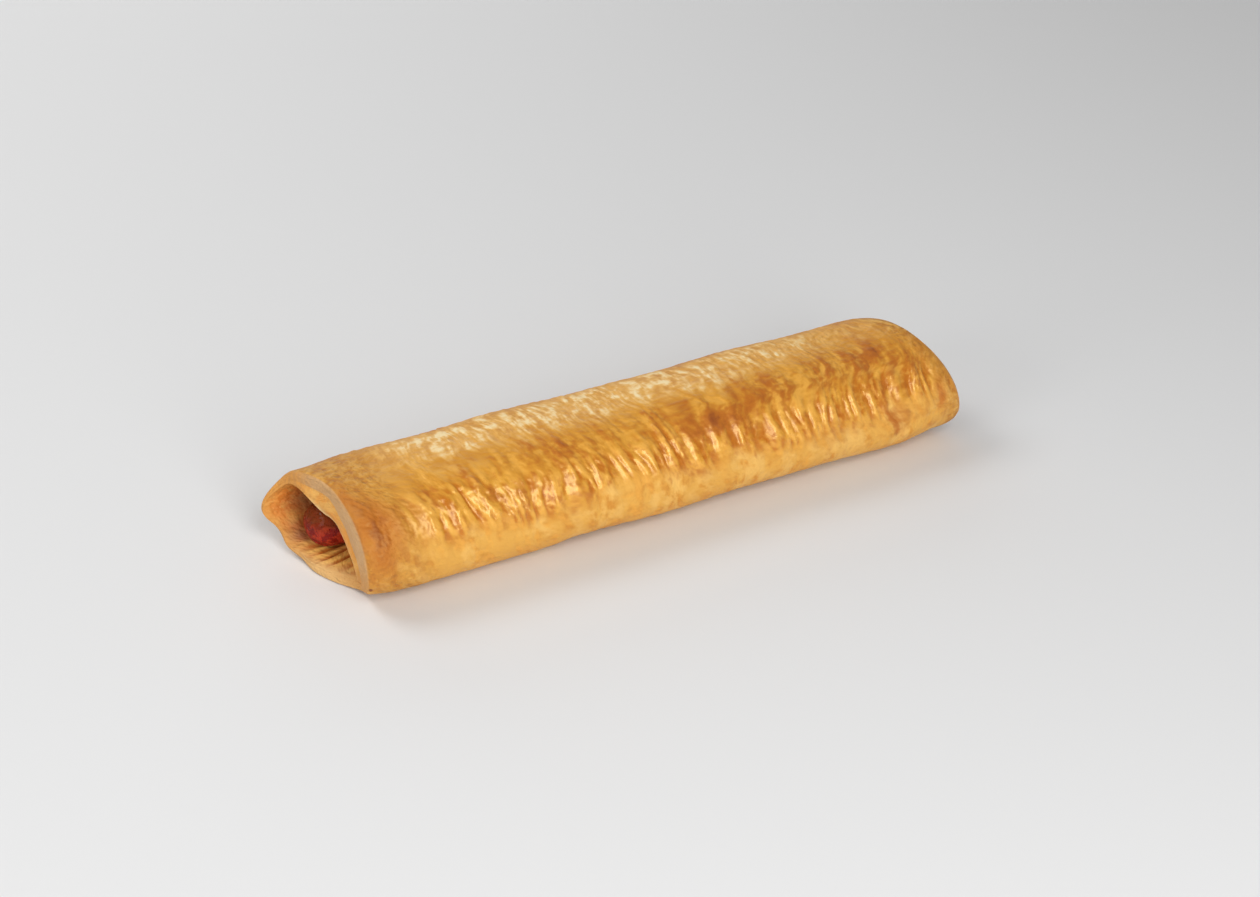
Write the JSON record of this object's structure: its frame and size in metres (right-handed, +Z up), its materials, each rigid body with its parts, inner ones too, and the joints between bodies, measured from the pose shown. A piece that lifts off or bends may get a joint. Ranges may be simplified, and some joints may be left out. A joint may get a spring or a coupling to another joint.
{
  "type": "sausage pie",
  "caption": "Long baked puff pastry roll, egg-washed and wrinkled, with a slanted open mouth at each end that shows the sausage inside.",
  "frame": {"origin": "middle of the flat underside that the roll rests on, at the bottom centre of its box", "axes": "+X along the roll, from the wide gaping mouth at -X to the rounded end; +Y towards the back, where the sausage lies; +Z up"},
  "size_m": [0.2392, 0.055, 0.0364],
  "materials": {
    "pastry": "golden baked puff pastry with an egg-wash gloss, fine cross wrinkles and browned patches",
    "sausage": "dark red cooked sausage, moist and glossy"
  },
  "bodies": {
    "root": {"pastry": "pastry", "sausage": "sausage"}
  },
  "joints": []
}
